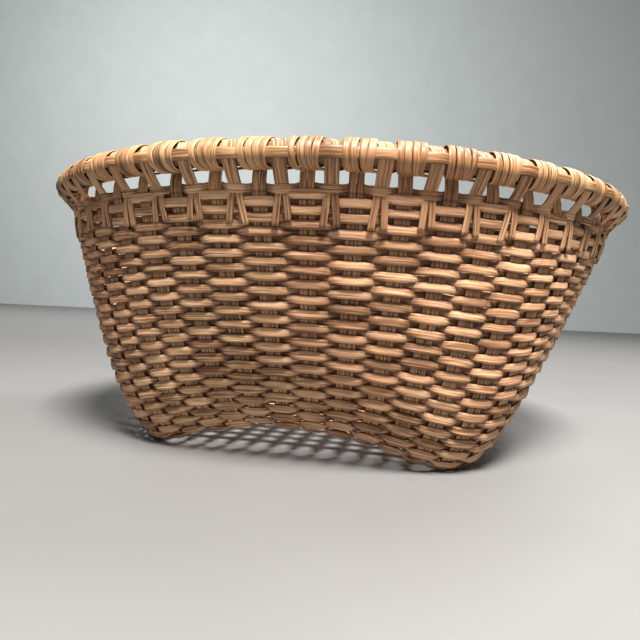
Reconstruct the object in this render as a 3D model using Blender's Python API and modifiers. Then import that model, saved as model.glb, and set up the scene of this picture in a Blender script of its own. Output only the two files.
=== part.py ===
"""Hand-woven round basket on four corner feet.

Flat splints cross in a square plaited base, turn up to stand in the wall, pass over a
hooped rim and tuck back under the border round. Two long wall splints at a time are woven
round them. Units are metres, +Z is up, the origin is on the floor at the basket's centre.
"""
import math

import bmesh
import bpy
import numpy as np
from mathutils import Vector

MM = 0.001

# driving dimensions
PER_SIDE = 13               # standing splints on each side of the square base
COUNT = 4 * PER_SIDE        # standing splints round the wall
RIM_RADIUS = 191.5 * MM     # centre line of the rim
RIM_HEIGHT = 156.3 * MM     # centre of the rim above the floor
CORE_RADIUS = 5.2 * MM      # the two hoops together
WALL_TOP_RADIUS = 187.0 * MM
WALL_TOP_HEIGHT = 144.3 * MM
BASE_HALF = 110.9 * MM      # centre to the middle of a base edge
BASE_CORNER = 131.9 * MM    # centre to a foot
ARCH = 16.7 * MM            # height of the base edge half-way between two feet
ARCH_POWER = 2.2
FLARE_SIDE = 0.616          # how soon the wall turns up, at a side and at a corner
FLARE_CORNER = 0.516

STAKE_THICK = 1.2 * MM
STAKE_SHARE = 0.40          # splint width as a share of the spacing
LOOP_WIDTH = 5.6 * MM
WEAVER_THICK = 1.0 * MM
WEAVER_SHARE = 0.85         # width of a wall splint as a share of the row pitch
TOP_PITCH = 3.3 * MM        # row pitch under the border; it widens evenly down the wall
BINDER_WIDTH = 3.2 * MM
LASH_THICK = 0.8 * MM
LASH_WIDTH = 4.0 * MM
OVERLAY_THICK = 0.7 * MM
OVERLAY_WIDTH = 3.4 * MM
GAP = 0.3 * MM
FOOT_WIDTH = 4.1 * MM
FOOT_RISE = 3.0 * MM        # lowest round above the base edge, along the wall
FOOT_DROP = 1.1 * MM        # how far it hangs below the splints at a corner

BANDS = 6                   # pairs of wall splints, one above the other
ROUNDS = 3                  # rounds made by each wall splint
ROWS = BANDS * ROUNDS * 2   # wall rows between the border round and the foot round
STEP_AT = 34                # standing splint where a wall splint starts a new round
STEP_SPAN = 2               # spaces over which it steps down

BASE_POWER = 1.0 / (0.5 - math.log2(BASE_CORNER / BASE_HALF))
CORNER_XY = BASE_CORNER / math.sqrt(2.0)
BASE_PITCH = CORNER_XY / (PER_SIDE / 2.0)
HALF_SIDE = (PER_SIDE - 1) / 2.0
TURN = 2.0 * math.pi / COUNT
CLEAR = STAKE_THICK / 2 + WEAVER_THICK / 2 + GAP
WAVE = CLEAR / (1.0 - STAKE_SHARE) + 0.2 * MM


def base_height(x, y):
    """Underside of the plaited base: an arch between every two feet."""
    share = min(1.0, abs(x * y) / CORNER_XY ** 2)
    return ARCH * (1.0 - share ** ARCH_POWER)


def surface(u, v):
    """Wall at standing-splint number u (0 at the left of the front side), v 0 base to 1 top."""
    side = math.floor((u + 0.5) / PER_SIDE)
    i = u - side * PER_SIDE - HALF_SIDE
    t = i * BASE_PITCH
    e = BASE_HALF * (1.0 - (abs(t) / BASE_HALF) ** BASE_POWER) ** (1.0 / BASE_POWER)
    low_angle = math.atan2(t, e)
    low_radius = math.hypot(t, e)
    low_height = base_height(t, e)
    corner = (low_radius - BASE_HALF) / (BASE_CORNER - BASE_HALF)
    flare = FLARE_SIDE + (FLARE_CORNER - FLARE_SIDE) * corner
    angle = low_angle + (i * TURN - low_angle) * v
    angle += (side - 1) * math.pi / 2.0
    radius = low_radius + (WALL_TOP_RADIUS - low_radius) * v ** flare
    height = low_height + (WALL_TOP_HEIGHT - low_height) * v
    return Vector((radius * math.cos(angle), radius * math.sin(angle), height))


# rows are spread evenly down the wall, measured half-way between a side's middle and a corner
_v = np.linspace(0.0, 1.0, 2001) ** 2.2
_p = np.array([surface(3.0, float(x)) for x in _v])
_run = np.concatenate([[0.0], np.cumsum(np.linalg.norm(np.diff(_p, axis=0), axis=1))])
WALL_LENGTH = float(_run[-1])
FOOT_ROW = ROWS + 1
PITCH_GAIN = (WALL_LENGTH - FOOT_RISE - FOOT_ROW * TOP_PITCH) / FOOT_ROW ** 2
EDGE_ROW = (math.sqrt(TOP_PITCH ** 2 + 4 * PITCH_GAIN * WALL_LENGTH) - TOP_PITCH) / (2 * PITCH_GAIN)


def row_point(u, row):
    """Wall at a row: row 0 is the border round, FOOT_ROW the lowest, EDGE_ROW the base edge."""
    v = float(np.interp(WALL_LENGTH - row * (TOP_PITCH + PITCH_GAIN * row), _run, _v))
    return surface(u, min(1.0, max(0.0, v)))


def row_pitch(row):
    return TOP_PITCH + 2 * PITCH_GAIN * row


KNOTS = [0.0, 0.42 * ROWS, 0.76 * ROWS, 0.93 * ROWS, FOOT_ROW - 0.5, EDGE_ROW]


def wall_point(u, row):
    """The wall as the standing splints really run: straight between a few heights."""
    for high, low in zip(KNOTS, KNOTS[1:]):
        if row <= low:
            break
    share = (row - high) / (low - high)
    return row_point(u, high).lerp(row_point(u, low), share)


def along(u, row):
    return (wall_point(u + 1, row) - wall_point(u - 1, row)).normalized()


def upward(u, row):
    return (wall_point(u, max(0.0, row - 0.45)) - wall_point(u, min(EDGE_ROW, row + 0.45))).normalized()


def outward(u, row):
    return along(u, row).cross(upward(u, row)).normalized()


def spacing(u, row):
    return (wall_point(u + 0.5, row) - wall_point(u - 0.5, row)).length


def turn_half(u, row):
    a = wall_point(u, row) - wall_point(u - 1, row)
    b = wall_point(u + 1, row) - wall_point(u, row)
    return a.angle(b) / 2.0


def rim_point(angle, round_angle, radius):
    r = RIM_RADIUS + radius * math.cos(round_angle)
    return Vector((r * math.cos(angle), r * math.sin(angle), RIM_HEIGHT + radius * math.sin(round_angle)))


# scene
for old in list(bpy.data.objects):
    bpy.data.objects.remove(old, do_unlink=True)
basket = bpy.data.collections.new("banneton_basket")
bpy.context.scene.collection.children.link(basket)


def material(name, colour, rough):
    mat = bpy.data.materials.new(name)
    mat.use_nodes = True
    shader = mat.node_tree.nodes["Principled BSDF"]
    shader.inputs["Base Color"].default_value = (*colour, 1.0)
    shader.inputs["Roughness"].default_value = rough
    mat.diffuse_color = (*colour, 1.0)
    return mat


STAKE_MAT = material("standing_splint", (0.42, 0.27, 0.15), 0.7)
WEAVER_MAT = material("wall_splint", (0.55, 0.37, 0.21), 0.65)
RIM_MAT = material("rim_cane", (0.60, 0.40, 0.22), 0.5)
HOOP_MAT = material("rim_hoop", (0.36, 0.23, 0.13), 0.7)


def splint(name, stations, thick, mat, closed=False):
    """A flat splint: a strip laid through (centre, half-width vector) stations, then thickened."""
    count = len(stations)
    bm = bmesh.new()
    bmesh.ops.create_grid(bm, x_segments=count if closed else count - 1, y_segments=1, size=1.0)
    columns = sorted(bm.verts, key=lambda vert: (round(vert.co.x, 5), vert.co.y))
    for k in range(0, len(columns), 2):
        centre, half = stations[(k // 2) % count]
        columns[k].co = centre - half
        columns[k + 1].co = centre + half
    if closed:
        bmesh.ops.remove_doubles(bm, verts=bm.verts, dist=0.00001)
    bmesh.ops.recalc_face_normals(bm, faces=bm.faces)
    mesh = bpy.data.meshes.new(name)
    bm.to_mesh(mesh)
    bm.free()
    mesh.materials.append(mat)
    obj = bpy.data.objects.new(name, mesh)
    basket.objects.link(obj)
    shell = obj.modifiers.new("thickness", "SOLIDIFY")
    shell.thickness = thick
    shell.offset = 0.0
    return obj


def crowned_splint(name, stations, thick, mat):
    """A splint flat on its inner face, with a ridge along the middle of its outer face."""
    centres = [c for c, _ in stations]
    bm = bmesh.new()
    bmesh.ops.create_grid(bm, x_segments=len(stations) - 1, y_segments=3, size=1.0)
    columns = sorted(bm.verts, key=lambda vert: (round(vert.co.x, 5), vert.co.y))
    for k, (centre, half) in enumerate(stations):
        ahead = centres[min(k + 1, len(centres) - 1)] - centres[max(k - 1, 0)]
        out = ahead.cross(half).normalized() * thick / 2
        corners = (centre - half - out, centre + out, centre + half - out, centre - half - out)
        for vert, corner in zip(columns[4 * k:4 * k + 4], corners):
            vert.co = corner
    bmesh.ops.remove_doubles(bm, verts=bm.verts, dist=0.00001)
    bmesh.ops.holes_fill(bm, edges=[e for e in bm.edges if len(e.link_faces) == 1], sides=0)
    bmesh.ops.recalc_face_normals(bm, faces=bm.faces)
    mesh = bpy.data.meshes.new(name)
    bm.to_mesh(mesh)
    bm.free()
    mesh.materials.append(mat)
    obj = bpy.data.objects.new(name, mesh)
    basket.objects.link(obj)
    return obj


def hoop(name, profile, mat):
    """A ring turned from a closed profile of (radius, height) points."""
    bm = bmesh.new()
    verts = [bm.verts.new((r, 0.0, z)) for r, z in profile]
    edges = [bm.edges.new((verts[k], verts[(k + 1) % len(verts)])) for k in range(len(verts))]
    bmesh.ops.spin(bm, geom=verts + edges, cent=(0, 0, 0), axis=(0, 0, 1), angle=2 * math.pi,
                   steps=COUNT, use_merge=True, use_normal_flip=False, use_duplicate=False)
    bmesh.ops.recalc_face_normals(bm, faces=bm.faces)
    mesh = bpy.data.meshes.new(name)
    bm.to_mesh(mesh)
    bm.free()
    mesh.materials.append(mat)
    obj = bpy.data.objects.new(name, mesh)
    basket.objects.link(obj)
    return obj


def wall_stations(u):
    """Standing splint up one side of the wall, from the base edge to the border."""
    out = []
    for row in reversed(KNOTS):
        width = spacing(u, row) * STAKE_SHARE if row > 0 else LOOP_WIDTH
        out.append((wall_point(u, row), along(u, row) * width / 2))
    return out


def loop_stations(u):
    """From the border up inside the rim, over it, down outside and back under the border."""
    angle = (u - HALF_SIDE) * TURN - math.pi / 2.0
    out = []
    for degrees, radius in ((190, 7.6), (132, 7.8), (76, 8.0), (20, 8.5), (-30, 8.2)):
        a = angle + TURN * min(0.5, max(0.0, (180.0 - degrees) / 360.0))
        tangent = Vector((-math.sin(a), math.cos(a), 0.0))
        out.append((rim_point(a, math.radians(degrees), radius * MM), tangent * LOOP_WIDTH / 2))
    for row, lift in ((0.0, -0.6), (0.85, 2.5), (4.4, 2.5)):
        out.append((wall_point(u + 0.5, row) + outward(u + 0.5, row) * lift * MM,
                    along(u + 0.5, row) * LOOP_WIDTH / 2))
    return out


def base_stations(fixed, lengthwise):
    """Straight across the base, over one crossing splint and under the next."""
    lift = (STAKE_THICK + GAP) / 2 / (1.0 - STAKE_SHARE) + 0.1 * MM
    out = []
    for j in range(PER_SIDE):
        a = (fixed - HALF_SIDE) * BASE_PITCH
        b = (j - HALF_SIDE) * BASE_PITCH
        sign = 1.0 if (fixed + j) % 2 else -1.0
        reach = BASE_PITCH * STAKE_SHARE / 2
        slope = (base_height(a + reach, b) - base_height(a - reach, b)) / (2 * reach)
        if lengthwise:
            out.append((Vector((a, b, base_height(a, b) + sign * lift)),
                        Vector((reach, 0, slope * reach))))
        else:
            out.append((Vector((b, a, base_height(a, b) - sign * lift)),
                        Vector((0, reach, slope * reach))))
    return out


def flip(stations):
    return [(c, -h) for c, h in reversed(stations)]


# standing splints: 13 run front to back and 13 side to side
for i in range(PER_SIDE):
    front = wall_stations(i) + loop_stations(i)
    back_u = 3 * PER_SIDE - 1 - i
    back = wall_stations(back_u) + loop_stations(back_u)
    path = [(c, h) for c, h in reversed(front)] + base_stations(i, True) + [(c, -h) for c, h in back]
    splint("stake_y_%02d" % (i + 1), path, STAKE_THICK, STAKE_MAT)
    right_u = PER_SIDE + i
    left_u = COUNT - 1 - i
    right = wall_stations(right_u) + loop_stations(right_u)
    left = wall_stations(left_u) + loop_stations(left_u)
    path = [(c, -h) for c, h in reversed(left)] + base_stations(i, False) + [(c, h) for c, h in right]
    splint("stake_x_%02d" % (i + 1), path, STAKE_THICK, STAKE_MAT)


def woven(u, row, sign, lift=None):
    """One crossing of a wall splint, outside (+) or inside (-) the standing splint."""
    reach = WAVE if lift is None else lift
    if sign > 0:
        reach += spacing(u, row) * STAKE_SHARE / 2 * turn_half(u, row) * 1.3
    width = row_pitch(row) * WEAVER_SHARE
    return (wall_point(u, row) + outward(u, row) * sign * reach, upward(u, row) * width / 2)


# wall splints: two at a time, each following one row below the other
for band in range(BANDS):
    for strand, letter in enumerate("ab"):
        path = []
        last = ROUNDS * COUNT - STEP_SPAN
        for n in range(last + 1):
            done = n // COUNT
            rest = n - done * COUNT
            step = max(0.0, (rest - (COUNT - STEP_SPAN)) / STEP_SPAN)
            row = 1 + band * ROUNDS * 2 + strand + 2 * (done + step)
            sign = 1.0 if (n + strand) % 2 else -1.0
            path.append(woven(STEP_AT + n, row, sign))
        crowned_splint("weaver_%s%d" % (letter, band + 1), path, WEAVER_THICK, WEAVER_MAT)

# lowest round: it passes below both splints at each corner, so the corners are flat feet
foot = []
for n in range(COUNT):
    i = n % PER_SIDE
    corner = i in (0, PER_SIDE - 1)
    centre, half = woven(n, FOOT_ROW, 1.0 if n % 2 or corner else -1.0)
    if corner:
        side = (n // PER_SIDE - 1) * math.pi / 2 + (math.pi / 4 if i else -math.pi / 4)
        centre.z -= FOOT_DROP
        half = Vector((math.cos(side), math.sin(side), 0.0)) * FOOT_WIDTH / 2
    foot.append((centre, half))
splint("foot_round", foot, WEAVER_THICK, WEAVER_MAT, closed=True)

# border round: behind each rising splint, over each tucked end
border = []
for n in range(2 * COUNT):
    u = n / 2.0
    lift = 4.7 if n % 2 else -4.2
    border.append((wall_point(u, 0.0) + outward(u, 0.0) * lift * MM,
                   Vector((0.0, 0.0, BINDER_WIDTH / 2))))
splint("border_round", border, WEAVER_THICK, WEAVER_MAT, closed=True)

# rim
R = CORE_RADIUS
for name, side in (("rim_hoop_inner", -1.0), ("rim_hoop_outer", 1.0)):
    pts = [(0.15 * MM, -0.97 * R), (0.66 * R, -0.72 * R), (0.97 * R, 0.0), (0.66 * R, 0.72 * R),
           (0.15 * MM, 0.97 * R)]
    hoop(name, [(RIM_RADIUS + side * a, RIM_HEIGHT + b) for a, b in pts], HOOP_MAT)

lean = math.radians(-8.0)
overlay = []
for n in range(COUNT):
    a = n * TURN
    out = Vector((math.cos(a), math.sin(a), 0.0))
    centre = rim_point(a, lean, CORE_RADIUS + GAP + OVERLAY_THICK / 2)
    across = out * -math.sin(lean) + Vector((0, 0, math.cos(lean)))
    overlay.append((centre, across * OVERLAY_WIDTH / 2))
splint("rim_overlay", overlay, OVERLAY_THICK, RIM_MAT, closed=True)

lash = []
LASH_STEPS = 6
for n in range(COUNT * LASH_STEPS):
    share = n / LASH_STEPS
    a = (share - HALF_SIDE) * TURN - math.pi / 2.0
    turn = math.radians(-8.0) - 2 * math.pi * (share - 0.89)
    tangent = Vector((-math.sin(a), math.cos(a), 0.0))
    lash.append((rim_point(a, turn, 8.1 * MM), tangent * LASH_WIDTH / 2))
splint("rim_lashing", lash, LASH_THICK, RIM_MAT, closed=True)

# stand it on the floor
bpy.context.view_layer.update()
graph = bpy.context.evaluated_depsgraph_get()
low = 1.0
for obj in basket.objects:
    shape = obj.evaluated_get(graph).to_mesh()
    low = min(low, min(vert.co.z for vert in shape.vertices))
for obj in basket.objects:
    for vert in obj.data.vertices:
        vert.co.z -= low
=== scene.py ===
"""A hand-woven round basket on corner feet, dressed over its measured frame."""

import math
from collections import namedtuple

import bmesh
import bpy
import numpy as np
from mathutils import Matrix, Vector


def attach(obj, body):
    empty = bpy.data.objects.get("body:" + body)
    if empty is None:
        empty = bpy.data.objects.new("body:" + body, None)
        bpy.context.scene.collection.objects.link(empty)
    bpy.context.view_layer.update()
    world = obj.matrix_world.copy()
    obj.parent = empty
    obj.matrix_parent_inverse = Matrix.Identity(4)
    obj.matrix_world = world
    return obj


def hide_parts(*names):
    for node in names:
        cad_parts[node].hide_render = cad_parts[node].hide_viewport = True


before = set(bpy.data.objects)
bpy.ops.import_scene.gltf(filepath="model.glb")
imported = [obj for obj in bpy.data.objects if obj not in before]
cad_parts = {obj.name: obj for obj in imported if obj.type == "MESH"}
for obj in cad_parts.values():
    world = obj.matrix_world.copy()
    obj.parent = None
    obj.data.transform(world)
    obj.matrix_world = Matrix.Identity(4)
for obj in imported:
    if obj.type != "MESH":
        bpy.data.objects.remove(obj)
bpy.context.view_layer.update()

MM = 0.001
UPRIGHT = np.array([0, 0, 1.0])

# the basket's own sizes
PER_SIDE = 13
COUNT = 4 * PER_SIDE
TURN = 2 * math.pi / COUNT
HALF_SIDE = (PER_SIDE - 1) / 2
FLOOR_LIFT = 2.1 * MM
RIM_RADIUS = 191.5 * MM
RIM_HEIGHT = 158.5 * MM
WALL_TOP_RADIUS = 187.0 * MM
WALL_TOP_HEIGHT = 144.1 * MM
BASE_HALF = 110.9 * MM
BASE_CORNER = 131.9 * MM
ARCH = 17.9 * MM
ARCH_POWER = 2.2
FLARE_SIDE = 0.616
FLARE_CORNER = 0.516
BASE_POWER = 1 / (0.5 - math.log2(BASE_CORNER / BASE_HALF))
CORNER_XY = BASE_CORNER / math.sqrt(2)
BASE_PITCH = CORNER_XY / (PER_SIDE / 2)
BANDS = 6
ROUNDS = 3
ROWS = BANDS * ROUNDS * 2
FOOT_ROW = ROWS + 1
STEP_AT = 34
STEP_SPAN = 2


# ---------------------------------------------------------------- the woven surface
def base_height(x, y):
    share = np.minimum(1.0, np.abs(x * y) / CORNER_XY ** 2)
    return ARCH * (1 - share ** ARCH_POWER)


def wall(u, v):
    """Points on the wall: u counts standing splints, v runs from base edge 0 to border 1."""
    u, v = np.broadcast_arrays(np.asarray(u, float), np.asarray(v, float))
    side = np.floor((u + 0.5) / PER_SIDE)
    i = u - side * PER_SIDE - HALF_SIDE
    t = i * BASE_PITCH
    e = BASE_HALF * (1 - (np.abs(t) / BASE_HALF) ** BASE_POWER) ** (1 / BASE_POWER)
    low_angle = np.arctan2(t, e)
    low_radius = np.hypot(t, e)
    low_height = base_height(t, e)
    corner = (low_radius - BASE_HALF) / (BASE_CORNER - BASE_HALF)
    flare = FLARE_SIDE + (FLARE_CORNER - FLARE_SIDE) * corner
    angle = low_angle + (i * TURN - low_angle) * v + (side - 1) * math.pi / 2
    radius = low_radius + (WALL_TOP_RADIUS - low_radius) * v ** flare
    height = low_height + (WALL_TOP_HEIGHT - low_height) * v
    return np.stack([radius * np.cos(angle), radius * np.sin(angle), height + FLOOR_LIFT], -1)


fine_v = np.linspace(0, 1, 2001) ** 2.2
fine_steps = np.linalg.norm(np.diff(wall(3.0, fine_v), axis=0), axis=1)
fine_run = np.concatenate([[0], np.cumsum(fine_steps)])
WALL_LENGTH = fine_run[-1]
TOP_PITCH = 3.5 * MM
PITCH_GAIN = (WALL_LENGTH - 3.0 * MM - FOOT_ROW * TOP_PITCH) / FOOT_ROW ** 2
EDGE_ROW = (math.sqrt(TOP_PITCH ** 2 + 4 * PITCH_GAIN * WALL_LENGTH) - TOP_PITCH) / (2 * PITCH_GAIN)


def at_row(u, row):
    """Wall at a row: 0 is the border, FOOT_ROW the lowest, EDGE_ROW the base edge."""
    down = np.asarray(row) * (TOP_PITCH + PITCH_GAIN * np.asarray(row))
    return wall(u, np.clip(np.interp(WALL_LENGTH - down, fine_run, fine_v), 0, 1))


def row_pitch(row):
    return TOP_PITCH + 2 * PITCH_GAIN * row


def unit(a):
    return a / np.maximum(1e-12, np.linalg.norm(a, axis=-1, keepdims=True))


def ease(x):
    """A slow start and a slow stop between 0 and 1."""
    return x * x * (3 - 2 * x)


def wall_axes(u, row):
    """Round-about, up and outward directions of the wall, and its spacing there."""
    u, row = np.broadcast_arrays(np.asarray(u, float), np.asarray(row, float))
    across = at_row(u + 0.5, row) - at_row(u - 0.5, row)
    up = unit(at_row(u, np.maximum(0, row - 0.3)) - at_row(u, np.minimum(EDGE_ROW, row + 0.3)))
    out = unit(np.cross(across, up))
    return unit(across), up, out, np.linalg.norm(across, axis=-1)


def rim_place(angle, round_angle, radius):
    angle, round_angle, radius = np.broadcast_arrays(angle, round_angle, radius)
    r = RIM_RADIUS + radius * np.cos(round_angle)
    z = RIM_HEIGHT + FLOOR_LIFT + radius * np.sin(round_angle)
    return np.stack([r * np.cos(angle), r * np.sin(angle), z], -1)


def leaning(angle, lean):
    """Outward directions at an angle round the basket, leaning up by lean."""
    radial = np.stack([np.cos(angle), np.sin(angle), 0 * angle], -1)
    return radial * np.cos(lean)[:, None] + UPRIGHT * np.sin(lean)[:, None]


def wobble(x, seed, size=1.0):
    """A smooth, repeatable irregularity along a splint."""
    x = np.asarray(x, float) / size
    base = np.random.RandomState(seed)
    total = np.zeros_like(x)
    for k in range(5):
        f = 0.5 + 0.37 * k + base.rand()
        total += np.sin(x * f * 2 * math.pi + base.rand() * 6.283) * (0.9 - 0.12 * k)
    return total / 2.2


# ---------------------------------------------------------------- splints
FLAT = [(-1.0, 0.1), (-0.88, 0.75), (-0.45, 1.0), (0.0, 0.94), (0.45, 1.0), (0.88, 0.75), (1.0, 0.1),
        (0.9, -0.8), (0.0, -1.0), (-0.9, -0.8)]
CROWN = [(-1.0, -0.3), (-0.95, 0.6), (-0.5, 0.92), (-0.05, 1.0), (0.4, 0.86), (0.78, 0.6), (0.96, 0.3),
         (1.0, -0.4), (0.6, -0.95), (-0.6, -0.95)]
HALF = [(-1.0, -0.9), (-0.9, 0.1), (-0.6, 0.75), (0.0, 1.0), (0.6, 0.75), (0.9, 0.1), (1.0, -0.9)]
GROOVED = [(-1.0, 0.0), (-0.9, 0.85), (-0.5, 1.0), (-0.1, 0.9), (0.0, 0.35), (0.1, 0.9), (0.5, 1.0),
           (0.9, 0.85), (1.0, 0.0), (0.9, -0.9), (0.0, -1.0), (-0.9, -0.9)]
CANE = [(-1.0, 0.0), (-0.85, 0.62), (-0.45, 0.93), (0.0, 1.0), (0.45, 0.93), (0.85, 0.62), (1.0, 0.0),
        (0.8, -0.8), (-0.8, -0.8)]


class Bundle:
    """Splints gathered into one piece."""

    def __init__(self):
        self.bm = bmesh.new()
        self.grain = self.bm.loops.layers.uv.new("grain")
        self.tone = self.bm.verts.layers.float.new("tone")
        # painted shade: a vertex attribute for how much each splint's colour is darkened where it dives,
        # at its edges and under crossing splints
        self.deep = self.bm.verts.layers.float.new("deep")

    def lay(self, centre, side, lift, width, thick, section=FLAT, tone=0.5, closed=False, start=0.0,
            lit=1.0, lit_back=None, shade=None):
        """Sweep a section along a path of centres with side and lift directions; lit, lit_back and shade
        paint shade into its colour.
        """
        lit = np.broadcast_to(np.asarray(lit, float), (len(centre),))
        lit_back = lit if lit_back is None else lit_back
        n, m = len(centre), len(section)
        side, lift = unit(side), unit(lift)
        width = np.broadcast_to(np.asarray(width, float), (n,)) / 2
        thick = np.broadcast_to(np.asarray(thick, float), (n,)) / 2
        tone = np.broadcast_to(np.asarray(tone, float), (n,))
        step = np.linalg.norm(np.diff(centre, axis=0), axis=1)
        run = np.concatenate([[0], np.cumsum(step)]) + start
        end = run[-1] + (np.linalg.norm(centre[0] - centre[-1]) if closed else 0)
        sec = np.array(section + section[:1])
        rim = np.concatenate([[0], np.cumsum(np.linalg.norm(np.diff(sec, axis=0), axis=1))])
        rows = n + 1 if closed else n
        made = bmesh.ops.create_grid(self.bm, x_segments=rows - 1, y_segments=m, size=1.0)["verts"]
        made.sort(key=lambda vert: (round(vert.co.x, 6), vert.co.y))
        spot = {}
        for k, vert in enumerate(made):
            i, j = divmod(k, m + 1)
            a, b = sec[j]
            p = i % n
            vert.co = centre[p] + side[p] * a * width[p] + lift[p] * b * thick[p]
            vert[self.tone] = tone[p]
            # painted shade: lit, lit_back or shade give the share of the colour kept, and splint edges are
            # painted darker
            if shade:
                shown = shade(p, a, b)
            else:
                shown = (lit if b > 0 else lit_back)[p] * (0.45 if abs(a) > 0.97 else 1.0)
            vert[self.deep] = 1 - shown
            spot[vert] = (run[i] if i < n else end, a * width[p] + (0.003 if b < 0 else 0.0))
        faces = {f for vert in made for f in vert.link_faces}
        for f in faces:
            f.smooth = True
            for loop in f.loops:
                loop[self.grain].uv = spot[loop.vert]
        bmesh.ops.remove_doubles(self.bm, verts=made, dist=1e-6)
        return faces

    def close_ends(self):
        open_edges = [e for e in self.bm.edges if len(e.link_faces) == 1]
        if open_edges:
            bmesh.ops.holes_fill(self.bm, edges=open_edges, sides=0)

    def finish(self, name, finish, stands_for, slot):
        self.close_ends()
        bmesh.ops.recalc_face_normals(self.bm, faces=self.bm.faces)
        mesh = bpy.data.meshes.new(name)
        self.bm.to_mesh(mesh)
        self.bm.free()
        mesh.materials.append(finish)
        piece = bpy.data.objects.new(name, mesh)
        bpy.context.scene.collection.objects.link(piece)
        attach(piece, "root")
        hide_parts(*stands_for)
        return piece


# ---------------------------------------------------------------- finishes
class Val:
    """A number travelling through a material; arithmetic on it adds Math nodes."""

    def __init__(self, mat, out):
        self.mat, self.out = mat, out

    def _op(self, kind, a, b):
        return self.mat.node("ShaderNodeMath", {"operation": kind}, {0: a, 1: b})

    def __add__(self, other):
        return self._op("ADD", self, other)

    __radd__ = __add__

    def __sub__(self, other):
        return self._op("SUBTRACT", self, other)

    def __rsub__(self, other):
        return self._op("SUBTRACT", other, self)

    def __mul__(self, other):
        return self._op("MULTIPLY", self, other)

    __rmul__ = __mul__

    def __truediv__(self, other):
        return self._op("DIVIDE", self, other)

    def __pow__(self, other):
        return self._op("POWER", self, other)

    def clamped(self):
        return self.mat.node("ShaderNodeClamp", {}, {"Value": self, "Min": 0.0, "Max": 1.0})


class Finish:
    """A procedural material under construction."""

    def __init__(self, name, **fixed):
        self.mat = bpy.data.materials.new(name)
        self.mat.use_nodes = True
        self.tree = self.mat.node_tree
        self.shader = self.tree.nodes["Principled BSDF"]
        for socket, value in fixed.items():
            self.shader.inputs[socket.replace("_", " ")].default_value = value

    def node(self, kind, settings, inputs, output=0):
        made = self.tree.nodes.new(kind)
        for key, value in settings.items():
            if key == "stops":
                ramp = made.color_ramp
                while len(ramp.elements) < len(value):
                    ramp.elements.new(0.5)
                for element, (place, colour) in zip(ramp.elements, value):
                    element.position = place
                    element.color = (*colour, 1.0)
            else:
                setattr(made, key, value)
        for key, value in inputs.items():
            socket = made.inputs[key]
            if isinstance(value, Val):
                self.tree.links.new(value.out, socket)
            else:
                socket.default_value = value
        return Val(self, made.outputs[output])

    def feed(self, socket, value):
        self.tree.links.new(value.out, self.shader.inputs[socket])


def splint_finish(name, dark, mid, light, red, rough=0.62, groove=0.5, gloss=0.0, bump=0.35):
    """Split-wood finish: long fibres, tone that changes from splint to splint, dark pores, and painted
    shade from a vertex attribute.
    """
    f = Finish(name, Roughness=rough, Specular_IOR_Level=0.35)
    uv = f.node("ShaderNodeUVMap", {"uv_map": "grain"}, {})
    place = f.node("ShaderNodeTexCoord", {}, {}, output=3)
    tone = f.node("ShaderNodeAttribute", {"attribute_name": "tone"}, {}, output=2)
    stretch = f.node("ShaderNodeMapping", {}, {"Vector": uv, "Scale": (60.0, 2300.0, 1.0)})
    fibre = f.node("ShaderNodeTexNoise", {}, {"Vector": stretch, "Scale": 1.0, "Detail": 3.0,
                                              "Roughness": 0.6})
    wide = f.node("ShaderNodeMapping", {}, {"Vector": uv, "Scale": (26.0, 900.0, 1.0)})
    streak = f.node("ShaderNodeTexNoise", {}, {"Vector": wide, "Scale": 1.0, "Detail": 2.0})
    patch = f.node("ShaderNodeTexNoise", {}, {"Vector": place, "Scale": 34.0, "Detail": 3.0})
    broad = f.node("ShaderNodeTexNoise", {}, {"Vector": place, "Scale": 7.0, "Detail": 2.0})
    hair = f.node("ShaderNodeMapping", {}, {"Vector": uv, "Scale": (110.0, 5200.0, 1.0)})
    hairs = f.node("ShaderNodeTexNoise", {}, {"Vector": hair, "Scale": 1.0, "Detail": 2.0})
    amount = (tone * 0.7 + (streak - 0.5) * 2.1 + (fibre - 0.5) * 1.5 + (hairs - 0.5) * 0.8
              + (patch - 0.5) * 1.0 + 0.16).clamped()
    colour = f.node("ShaderNodeValToRGB", {"stops": [(0.12, dark), (0.5, mid), (0.88, light)]},
                    {"Fac": amount})
    blush = (((broad - 0.5) * 2.2 + (patch - 0.5) * 1.2 + (tone - 0.5) * 0.6 + 0.18) * 1.3).clamped() * 0.6
    mixed = f.node("ShaderNodeMix", {"data_type": "RGBA"}, {0: blush, 6: colour, 7: (*red, 1.0)}, output=2)
    pores = ((0.43 - fibre * 0.5 - streak * 0.5) * 9.0).clamped() * groove
    grained = f.node("ShaderNodeMix", {"data_type": "RGBA", "blend_type": "MULTIPLY"},
                     {0: pores, 6: mixed, 7: (0.42, 0.27, 0.17, 1.0)}, output=2)
    # painted shade: the colour is multiplied towards dark brown by the vertex attribute baked in lay()
    deep = f.node("ShaderNodeAttribute", {"attribute_name": "deep"}, {}, output=2)
    final = f.node("ShaderNodeMix", {"data_type": "RGBA", "blend_type": "MULTIPLY"},
                   {0: deep.clamped(), 6: grained, 7: (0.20, 0.11, 0.06, 1.0)}, output=2)
    f.feed("Base Color", final)
    f.feed("Roughness", rough + (fibre - 0.5) * 0.25 - gloss * (tone - 0.5))
    height = fibre * 0.6 + streak * 1.0
    lump = f.node("ShaderNodeBump", {}, {"Strength": bump, "Distance": 0.0006, "Height": height})
    f.feed("Normal", lump)
    return f.mat


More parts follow.
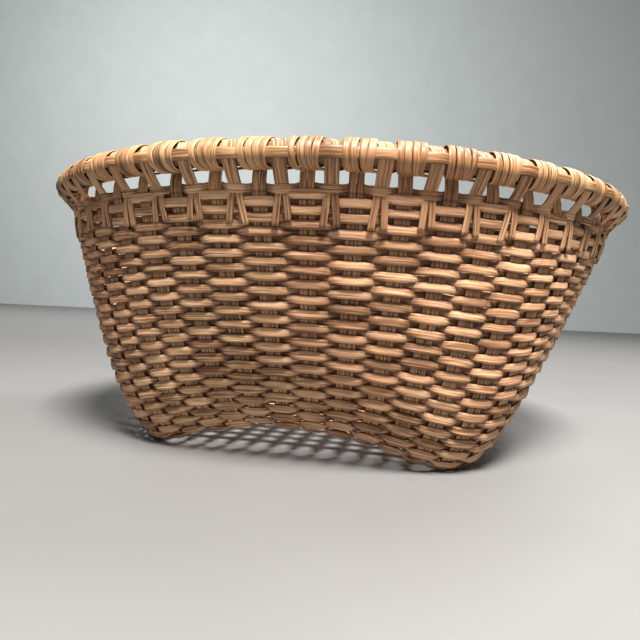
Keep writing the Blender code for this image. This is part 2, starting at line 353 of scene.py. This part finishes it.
WALL_WOOD = splint_finish("wall_splint_wood", (0.18, 0.082, 0.036), (0.42, 0.232, 0.116),
                          (0.70, 0.455, 0.262), (0.42, 0.19, 0.094), groove=0.75, bump=0.55)
STAKE_WOOD = splint_finish("standing_splint_wood", (0.11, 0.048, 0.019), (0.36, 0.192, 0.088),
                           (0.64, 0.39, 0.205), (0.36, 0.155, 0.07), groove=0.95, bump=0.5)
RIM_WOOD = splint_finish("rim_cane_skin", (0.10, 0.04, 0.014), (0.28, 0.142, 0.059), (0.50, 0.31, 0.15),
                         (0.31, 0.115, 0.048), rough=0.46, groove=0.35, gloss=0.1, bump=0.22)
CORE_WOOD = splint_finish("hoop_wood", (0.07, 0.033, 0.014), (0.17, 0.09, 0.04), (0.27, 0.16, 0.075),
                          (0.18, 0.075, 0.033), rough=0.7)


# ---------------------------------------------------------------- standing splints
Strand = namedtuple("Strand", "centre side lift width lit lit_back")

PAIR_SHARE = 0.52           # of the spacing that a pair covers on the wall
PAIR_WIDEST = 8.8 * MM
LOOP_WIDTH = 7.2 * MM       # a pair where it loops over the rim
TAIL_WIDTH = 3.5 * MM       # one splint of a pair, tucked back down
TAIL_SPREAD = 1.85 * MM
BASE_SPLINT_WIDTH = 3.6 * MM
BASE_SPREAD = 1.9 * MM
BASE_WAVE = 0.75 * MM
STAKE_THICK = 1.1 * MM
WALL_STATIONS = 150
# the loop over the rim: degrees round it from the inside, and distance from its centre line
LOOP_DEGREES = np.array([196, 180, 160, 140, 120, 100, 80, 60, 40, 22, 4, -12, -26, -38], float)
LOOP_RADII = np.array([6.2, 6.3, 6.3, 6.4, 6.4, 6.4, 6.4, 6.4, 6.4, 6.4, 6.3, 6.2, 6.3, 6.5]) * MM
# painted shade: share of a standing splint's colour kept, by rows below the wall splint that crosses it,
# dark near each crossing as its painted shadow
CROSSED_ROWS = [0, 0.5, 0.62, 1.0, 1.3, 1.5, 2]
CROSSED_LIT = [0.2, 0.25, 0.45, 1.0, 1.0, 0.7, 0.2]


def join(strands):
    return Strand(*(np.concatenate(parts) for parts in zip(*strands)))


def turn_round(strand):
    return Strand(*(part[::-1] for part in strand))


def smooth_path(points, passes=2):
    for _ in range(passes):
        points[1:-1] = points[1:-1] * 0.5 + (points[:-2] + points[2:]) * 0.25
    return points


def rise(u):
    """A pair of standing splints from the base edge up the wall."""
    rows = np.linspace(EDGE_ROW, 0.0, WALL_STATIONS)
    across, up, out, space = wall_axes(u, rows)
    share = np.clip(rows / 6.0, 0, 1)
    width = LOOP_WIDTH + (np.minimum(PAIR_SHARE * space, PAIR_WIDEST) - LOOP_WIDTH) * share
    # painted shadow of the crossing wall splints on the rising pair
    lit = np.interp((rows - u) % 2, CROSSED_ROWS, CROSSED_LIT)
    lit_back = np.interp((rows - u + 1) % 2, CROSSED_ROWS, CROSSED_LIT)
    free = rows < 0.4
    wall_part = Strand(at_row(u, rows), across, out, width,
                       np.where(free, 0.9, lit), np.where(free, 0.9, lit_back))
    # past the border on its outer side
    above = wall_part.centre[-1:] + up[-1:] * 3.1 * MM + out[-1:] * 0.9 * MM
    border_part = Strand(above, across[-1:], out[-1:], np.full(1, LOOP_WIDTH), np.ones(1), np.ones(1))
    return [wall_part, border_part]


def loop_over(u):
    """The same pair over the rim, leaning half a spacing round as it goes."""
    swing = np.clip((185 - LOOP_DEGREES) / 150.0, 0, 1)
    swing = ease(swing)
    a = (u - HALF_SIDE) * TURN - math.pi / 2 + TURN * 0.5 * swing
    tangent = np.stack([-np.sin(a), np.cos(a), 0 * a], -1)
    lean = np.radians(LOOP_DEGREES)
    lit = np.ones(len(a))
    return Strand(rim_place(a, lean, LOOP_RADII), tangent, leaning(a, lean),
                  np.full(len(a), LOOP_WIDTH), lit, lit)


def tail_path(u, hand, seed):
    """One splint of a pair, down under the border and lying over the next rows."""
    luck = np.random.RandomState(seed)
    length = 4.2 + 0.9 * luck.rand()
    rows = np.concatenate([[-1.2, -0.6, 0.0, 0.4, 0.8, 1.2], np.linspace(1.7, length, 8)])
    lift = np.interp(rows, [-1.2, 0.0, 0.6, 1.2, 3.0, 6], [0.9, -0.1, 1.1, 2.2, 2.8, 3.3]) * MM
    drift = np.interp(rows, [0.0, 1.0, 5.0], [-0.25, 0.1, 1.0 + 1.1 * luck.rand()]) * MM * hand
    lean = (luck.rand() - 0.5) * 1.8 * MM
    rows_on = np.maximum(rows, 0.0)
    across, _, out, _ = wall_axes(u + 0.5, rows_on)
    pts = at_row(u + 0.5, rows_on) + out * lift[:, None]
    pts = pts + across * (drift + lean * rows_on / 5)[:, None]
    above = np.minimum(rows, 0.0)
    pts = pts + (-above[:, None]) * TOP_PITCH * (0.85 * UPRIGHT + 0.75 * out)
    return pts, across, out


def half_splint(u, facing, hand, seed):
    """One splint of a pair, from the base edge to its tucked end."""
    pair = join(rise(u) + [loop_over(u)])
    pair = pair._replace(side=pair.side * facing)
    body = pair.centre + pair.side * (pair.width * 0.25)[:, None] * hand
    tail, tail_side, tail_out = tail_path(u, hand * facing, seed)
    tail_side = tail_side * facing
    tail = tail + tail_side * TAIL_SPREAD * hand
    shown = np.ones(len(tail))
    return Strand(smooth_path(np.concatenate([body, tail])),
                  unit(smooth_path(np.concatenate([pair.side, tail_side]))),
                  unit(smooth_path(np.concatenate([pair.lift, tail_out]))),
                  np.concatenate([pair.width * 0.49, np.full(len(tail), TAIL_WIDTH)]),
                  np.concatenate([pair.lit, shown]),
                  np.concatenate([pair.lit_back, shown]))


def add_stake(bundle, u_front, u_back, base, seed):
    """A pair of splints from one tucked end, across the base, to the other tucked end."""
    tone = 0.35 + 0.35 * np.random.RandomState(seed).rand()
    base_centre, base_side, base_lift = base
    count = len(base_centre)
    for hand in (-1, 1):
        luck = seed * 7 + (hand > 0)
        first = turn_round(half_splint(u_front, -1, hand, luck))
        last = half_splint(u_back, 1, hand, luck + 3)
        # painted shade: the base splints keep 0.85 of their colour
        middle = Strand(base_centre + base_side * BASE_SPREAD * hand, base_side, -base_lift,
                        np.full(count, BASE_SPLINT_WIDTH), np.full(count, 0.85), np.full(count, 0.85))
        whole = join([first, middle, last])
        # ease the turn between wall and base
        for k in (len(first.centre), len(first.centre) + count):
            seg = slice(k - 7, k + 7)
            whole.centre[seg] = smooth_path(whole.centre[seg].copy(), 3)
            whole.lift[seg] = smooth_path(whole.lift[seg].copy(), 3)
        run = np.linspace(0, 8, len(whole.centre))
        streaks = 0.10 * wobble(run, seed + 3, 1.5)
        bundle.lay(whole.centre, whole.side, whole.lift, whole.width, STAKE_THICK, GROOVED,
                   tone=np.clip(tone + 0.05 * hand + streaks, 0, 1),
                   start=seed * 0.9 + hand * 0.4, lit=whole.lit, lit_back=whole.lit_back)


def base_path(fixed, lengthwise):
    """Over one and under the next across the square base."""
    a = (fixed - HALF_SIDE) * BASE_PITCH
    reach = HALF_SIDE + 0.72
    j = np.linspace(-reach, reach, PER_SIDE * 7 + 1)
    b = j * BASE_PITCH
    height = base_height(a, b) + FLOOR_LIFT
    slope = (base_height(a + 3 * MM, b) - base_height(a - 3 * MM, b)) / (6 * MM)
    wave = BASE_WAVE * np.cos(math.pi * (j + HALF_SIDE + fixed))
    wave *= np.clip((HALF_SIDE + 0.7 - np.abs(j)) / 0.5, 0, 1)
    if lengthwise:
        centre = np.stack([0 * b + a, b, height - wave], -1)
        side = np.stack([1 + 0 * b, 0 * b, slope], -1)
    else:
        centre = np.stack([b, 0 * b + a, height + wave], -1)
        side = np.stack([0 * b, -1 + 0 * b, -slope], -1)
    return centre, unit(side), unit(np.cross(side, np.gradient(centre, axis=0)))


def make_stakes():
    for i in range(PER_SIDE):
        for name, front, back, lengthwise, seed in (
                ("stake_y_%02d", i, 3 * PER_SIDE - 1 - i, True, 100),
                ("stake_x_%02d", COUNT - 1 - i, PER_SIDE + i, False, 200)):
            bundle = Bundle()
            add_stake(bundle, front, back, base_path(i, lengthwise), seed + i)
            name = name % (i + 1)
            bundle.finish("splints_" + name, STAKE_WOOD, [name], "standing_splint")


# ---------------------------------------------------------------- wall rounds
FINE = 12                   # stations between two standing splints
CREST = 1.85 * MM           # how far wall splints swing to each side
LEVEL = 0.42                # keeps the swing level although the wall leans
SPLINT_THICK = 1.4 * MM
# width over row pitch, from behind a standing splint (-1) to outside the next (1)
PASSES = [-1, -0.5, -0.25, 0.0, 0.25, 0.5, 1.0]
COVERS = [1.52, 1.46, 1.25, 1.04, 1.08, 1.18, 1.2]
DARKEST = 0.34              # painted shade: colour left where a wall splint dives


def woven_run(bundle, n, u, row, seed):
    """A wall splint through its crossings: n counts crossings, odd ones pass outside."""
    away = np.abs((n - 1) % 2 - 1)      # 1 outside a standing splint, 0 behind the next
    phase = 2 * away - 1
    shape = np.clip(2.3 * phase + 0.12, -1, 1)
    shape = shape * (1.5 - 0.5 * shape ** 2)
    _, up, out, _ = wall_axes(u, row)
    knot = np.floor(n + 0.5).astype(int)
    luck = np.random.RandomState(seed).rand(int(n.max()) + 3, 6)[knot] - 0.5
    flat = np.clip(1.6 * np.abs(phase) - 0.25, 0, 1)
    share = np.interp(phase, PASSES, COVERS) + np.interp(row, [0, 5, 9], [0.16, 0.1, 0.0])
    width = row_pitch(row) * share * (1 + 0.16 * luck[:, 2] * flat)
    swing = CREST * shape * (1 + 0.22 * luck[:, 0])
    sag = 0.6 * MM * luck[:, 1] * flat
    drift = 0.35 * MM * wobble(n, seed + 9, 9.0)
    centre = at_row(u, row) + unit(out + LEVEL * up) * swing[:, None]
    centre = centre + up * sag[:, None] + up * drift[:, None]
    tone = np.clip(0.5 + 0.26 * wobble(n, seed + 5, 17.0) + 0.75 * luck[:, 3], 0, 1)
    # outer floats roll a little so that their faces turn up
    roll = (0.30 + 0.3 * luck[:, 4]) * np.clip(phase * 1.5, 0, 1)
    lift = unit(out + up * roll[:, None])
    edge = unit(up - out * roll[:, None])

    def shade(p, a, b):
        """Painted shade where the splint dives: the lit part of a float narrows to a point, and its lower
        edge is painted darker.
        """
        face = phase[p] if b > 0 else -phase[p]
        shown = min(1.0, max(DARKEST, (face + 0.44 - 0.66 * abs(a)) / 0.24))
        return shown * (0.4 if a < -0.97 else 0.9 if a > 0.97 else 1.0)

    bundle.lay(centre, edge, lift, width, SPLINT_THICK, CROWN, tone=tone, start=seed * 1.7, shade=shade)


def make_wall():
    for band in range(BANDS):
        for strand, letter in enumerate("ab"):
            # full rounds: each pair ends where the next pair below begins
            first = -1 if band == 0 else 0
            last = ROUNDS * COUNT
            n = np.linspace(first, last, (last - first) * FINE + 1)
            done = np.clip(np.floor(n / COUNT), 0, ROUNDS - 1)
            rest = n - done * COUNT
            step = ease(np.clip((rest - (COUNT - STEP_SPAN)) / STEP_SPAN, 0, 1))
            if band == BANDS - 1:
                step = np.where(done == ROUNDS - 1, step * 0.55, step)
            row = 1 + band * ROUNDS * 2 + strand + 2 * (done + step)
            bundle = Bundle()
            woven_run(bundle, n + strand, STEP_AT + n, row, 300 + band * 10 + strand)
            name = "weaver_%s%d" % (letter, band + 1)
            bundle.finish("splint_" + name, WALL_WOOD, [name], "wall_splint")


FOOT_WIDTH = 4.2 * MM
FOOT_THICK = 1.05 * MM


def make_foot_round():
    """The lowest round; at the corners it stays outside, where the basket stands on it."""
    n = np.linspace(0, COUNT, COUNT * FINE + 1)[:-1]
    to_corner = (n % PER_SIDE + 0.5) % PER_SIDE
    to_corner = np.minimum(np.abs(to_corner), np.abs(PER_SIDE - to_corner))
    hold = np.clip(1.45 - to_corner, 0, 1) * 1.3
    phase = np.maximum(-np.cos(math.pi * n), np.clip(hold * 2 - 0.6, -1, 1))
    rows = np.full(len(n), FOOT_ROW)
    _, up, out, _ = wall_axes(n, rows)
    centre = at_row(n, rows) + out * (CREST * np.sin(0.5 * math.pi * phase))[:, None]
    centre[:, 2] = np.maximum(centre[:, 2], 0.75 * MM)
    bundle = Bundle()
    bundle.lay(centre, up, out, FOOT_WIDTH, FOOT_THICK, FLAT, closed=True,
               tone=np.clip(0.35 + 0.2 * wobble(n, 77, 11.0), 0, 1))
    bundle.finish("splint_foot_round", WALL_WOOD, ["foot_round"], "wall_splint")


BORDER_TALL = 4.7 * MM
BORDER_THICK = 1.1 * MM
BORDER_OUT = 1.9            # mm outside the tucked ends
BORDER_IN = 2.2             # mm inside the rising splints


def make_border():
    """The round under the windows, behind each rising splint and outside each tucked pair."""
    n = np.linspace(0, COUNT, COUNT * 16 + 1)[:-1]
    _, up, out, _ = wall_axes(n, np.zeros(len(n)))
    phase = -np.cos(2 * math.pi * n)
    lift = np.where(phase > 0, BORDER_OUT, BORDER_IN) * np.tanh(1.8 * phase) / math.tanh(1.8) * MM
    tall = BORDER_TALL * (1 + 0.08 * wobble(n, 62, 3.0)) * (0.84 + 0.16 * np.abs(phase))
    drift = 0.5 * MM * wobble(n, 61, 5.0)
    centre = at_row(n, np.zeros(len(n))) + out * lift[:, None] + up * drift[:, None]
    bundle = Bundle()
    # painted shade where the border dives behind the rising splints
    bundle.lay(centre, up, out, tall, BORDER_THICK, FLAT, closed=True,
               tone=np.clip(0.30 + 0.25 * wobble(n, 63, 7.0), 0, 1),
               lit=np.interp(np.abs(phase), [0.0, 0.2, 0.7], [0.55, 0.75, 1.0]))
    bundle.finish("splint_border_round", WALL_WOOD, ["border_round"], "wall_splint")


# ---------------------------------------------------------------- rim
HOOP_TALL = 11.2 * MM
HOOP_DEEP = 5.6 * MM
HOOP_OFFSET = 2.7 * MM
OVERLAY_WIDTH = 5.3 * MM
OVERLAY_THICK = 1.5 * MM
CANE_WIDTH = 3.65 * MM
CANE_THICK = 0.9 * MM
CANE_RADIUS = 6.95 * MM
TURNS = 4                   # lashing turns over each rising splint
PER_TURN = 26


def make_hoops():
    angle = np.linspace(0, 2 * math.pi, 260)[:-1]
    radial = np.stack([np.cos(angle), np.sin(angle), 0 * angle], -1)
    upright = np.broadcast_to(UPRIGHT, radial.shape)
    for name, side in (("rim_hoop_inner", -1), ("rim_hoop_outer", 1)):
        bundle = Bundle()
        centre = rim_place(angle, 0.0, 0.0) + radial * side * HOOP_OFFSET
        bundle.lay(centre, upright, radial * side, HOOP_TALL, HOOP_DEEP, HALF, closed=True, tone=0.45)
        bundle.finish("hoop_" + name, CORE_WOOD, [name], "rim_hoop")


def make_overlay():
    """A strip along the outer face, over the loops and under the lashing."""
    n = np.linspace(0, COUNT, COUNT * 12 + 1)[:-1]
    a = (n - HALF_SIDE) * TURN - math.pi / 2
    at_loop = 0.5 + 0.5 * np.cos(2 * math.pi * (n - 0.5))
    lean = np.radians(-6 + 5 * wobble(n, 91, 9.0))
    radius = (5.9 + 1.9 * at_loop ** 1.5) * MM
    width = OVERLAY_WIDTH * (1 + 0.1 * wobble(n, 92, 4.0))
    bundle = Bundle()
    bundle.lay(rim_place(a, lean, radius), leaning(a, lean + math.pi / 2), leaning(a, lean), width,
               OVERLAY_THICK, CANE, closed=True, tone=np.clip(0.42 + 0.3 * wobble(n, 93, 6.0), 0, 1))
    bundle.finish("cane_rim_overlay", RIM_WOOD, ["rim_overlay"], "rim_cane")


def make_lashing():
    """A few close turns over each rising splint, then on past the window."""
    s = np.linspace(0, 1, PER_TURN + 1)[:-1]
    beside = CANE_WIDTH * 0.98 / (RIM_RADIUS * TURN)
    turns = []
    for k in range(COUNT):
        luck = np.random.RandomState(900 + k)
        for t in range(TURNS):
            # each turn starts and ends at the back of the rim
            last = t == TURNS - 1
            place = (t - (TURNS - 1) / 2) * beside
            onward = 1 - (TURNS - 1) / 2 * beside if last else place + beside
            leave = 0.74 if last else 0.5
            go = ease(np.clip((s - leave) / (1 - leave), 0, 1))
            where = k + place + (onward - place) * go + 0.035 * (luck.rand() - 0.5) * np.sin(s * math.pi)
            where = where + 0.05 * np.sin(2 * math.pi * (s + 0.05))
            turns.append((where, math.radians(205) - 2 * math.pi * s,
                          np.full(PER_TURN, CANE_WIDTH * (0.9 + 0.16 * luck.rand())),
                          np.full(PER_TURN, 0.3 + 0.6 * luck.rand()),
                          CANE_RADIUS + 0.4 * MM * luck.rand() * np.sin(s * math.pi)))
    where, turn, width, tone, radius = (np.concatenate(x) for x in zip(*turns))
    # lifted a little where it crosses the overlay strip
    radius = radius + 0.45 * MM * np.maximum(0, np.cos(turn)) ** 6
    a = (where - HALF_SIDE) * TURN - math.pi / 2
    out = leaning(a, turn)
    centre = rim_place(a, turn, radius)
    run = unit(np.roll(centre, -1, axis=0) - np.roll(centre, 1, axis=0))
    for _ in range(2):
        tone = tone * 0.5 + (np.roll(tone, 1) + np.roll(tone, -1)) * 0.25
        width = width * 0.5 + (np.roll(width, 1) + np.roll(width, -1)) * 0.25
    bundle = Bundle()
    bundle.lay(centre, unit(np.cross(out, run)), out, width, CANE_THICK, CANE, closed=True, tone=tone)
    bundle.finish("cane_rim_lashing", RIM_WOOD, ["rim_lashing"], "rim_cane")


make_stakes()
make_wall()
make_foot_round()
make_border()
make_hoops()
make_overlay()
make_lashing()


# ---------------------------------------------------------------- floor, light, camera
def stage_finish(name, colour, rough):
    f = Finish(name, Roughness=rough)
    place = f.node("ShaderNodeTexCoord", {}, {}, output=3)
    grain = f.node("ShaderNodeTexNoise", {}, {"Vector": place, "Scale": 9.0, "Detail": 4.0})
    tint = f.node("ShaderNodeValToRGB", {"stops": [(0.3, tuple(c * 0.95 for c in colour)), (0.7, colour)]},
                  {"Fac": grain})
    f.feed("Base Color", tint)
    return f.mat


def plane(name, corners, finish):
    bm = bmesh.new()
    bmesh.ops.create_grid(bm, x_segments=1, y_segments=1, size=1.0)
    order = sorted(bm.verts, key=lambda vert: (vert.co.y, vert.co.x))
    for vert, corner in zip(order, corners):
        vert.co = corner
    mesh = bpy.data.meshes.new(name)
    bm.to_mesh(mesh)
    bm.free()
    mesh.materials.append(finish)
    made = bpy.data.objects.new(name, mesh)
    bpy.context.scene.collection.objects.link(made)
    return made


CAMERA_TURN = math.radians(-78.5)
toward = Vector((math.cos(CAMERA_TURN), math.sin(CAMERA_TURN), 0))
ahead = -toward
right = Vector((-toward.y, toward.x, 0))
up = Vector((0, 0, 1))


def from_view(sideways, forward, height):
    """A point given sideways and forward from the basket as it is looked at."""
    return right * sideways + ahead * forward + up * height


BACK = 3.2                  # metres from the basket to the backdrop
plane("floor", [from_view(-6, -3, 0), from_view(6, -3, 0), from_view(-6, BACK, 0), from_view(6, BACK, 0)],
      stage_finish("pale_floor", (0.155, 0.151, 0.146), 0.6))
plane("backdrop", [from_view(-8, BACK, -0.5), from_view(8, BACK, -0.5),
                   from_view(-8, BACK, 5), from_view(8, BACK, 5)],
      stage_finish("blue_grey_wall", (0.33, 0.352, 0.348), 0.8))

world = bpy.data.worlds.new("studio")
bpy.context.scene.world = world
world.use_nodes = True
world.node_tree.nodes["Background"].inputs["Color"].default_value = (0.97, 0.98, 1.0, 1)
world.node_tree.nodes["Background"].inputs["Strength"].default_value = 0.19
bpy.context.scene.view_settings.view_transform = "Standard"


def softbox(name, place, aim, size, power, colour=(1, 1, 1)):
    data = bpy.data.lights.new(name, "AREA")
    data.shape = "RECTANGLE"
    data.size, data.size_y = size
    data.energy = power
    data.color = colour
    lamp = bpy.data.objects.new(name, data)
    lamp.location = place
    lamp.rotation_euler = (aim - place).to_track_quat("-Z", "Y").to_euler()
    bpy.context.scene.collection.objects.link(lamp)


softbox("window", from_view(0.17, -1.07, 1.72), Vector((0, 0, 0.1)), (0.5, 0.5), 156, (1.0, 0.985, 0.965))
softbox("overhead", from_view(0.9, 0.6, 1.7), from_view(0.5, 0.25, 0.0), (0.8, 0.8), 36)
softbox("backdrop_glow", from_view(-0.9, 1.2, 1.7), from_view(-0.6, BACK, 1.0), (1.6, 1.0), 64,
        (0.97, 1.0, 0.99))

DISTANCE, EYE = 0.4514, 0.0934
YAW, PITCH, ROLL, FOCAL = -0.023, -0.028, 0.047, 576.35
look = right * (math.sin(YAW) * math.cos(PITCH)) + ahead * (math.cos(YAW) * math.cos(PITCH))
look = look + up * math.sin(PITCH)
flat_right = right * math.cos(YAW) - ahead * math.sin(YAW)
flat_up = flat_right.cross(look)
cam_right = flat_right * math.cos(ROLL) + flat_up * math.sin(ROLL)
cam_up = flat_up * math.cos(ROLL) - flat_right * math.sin(ROLL)
camera_data = bpy.data.cameras.new("camera")
camera_data.sensor_width = 36.0
camera_data.lens = FOCAL / 640 * 36.0
camera_data.clip_start = 0.01
camera = bpy.data.objects.new("camera", camera_data)
placement = Matrix((cam_right, cam_up, -look)).transposed().to_4x4()
placement.translation = toward * DISTANCE + up * EYE
camera.matrix_world = placement
bpy.context.scene.collection.objects.link(camera)
bpy.context.scene.camera = camera
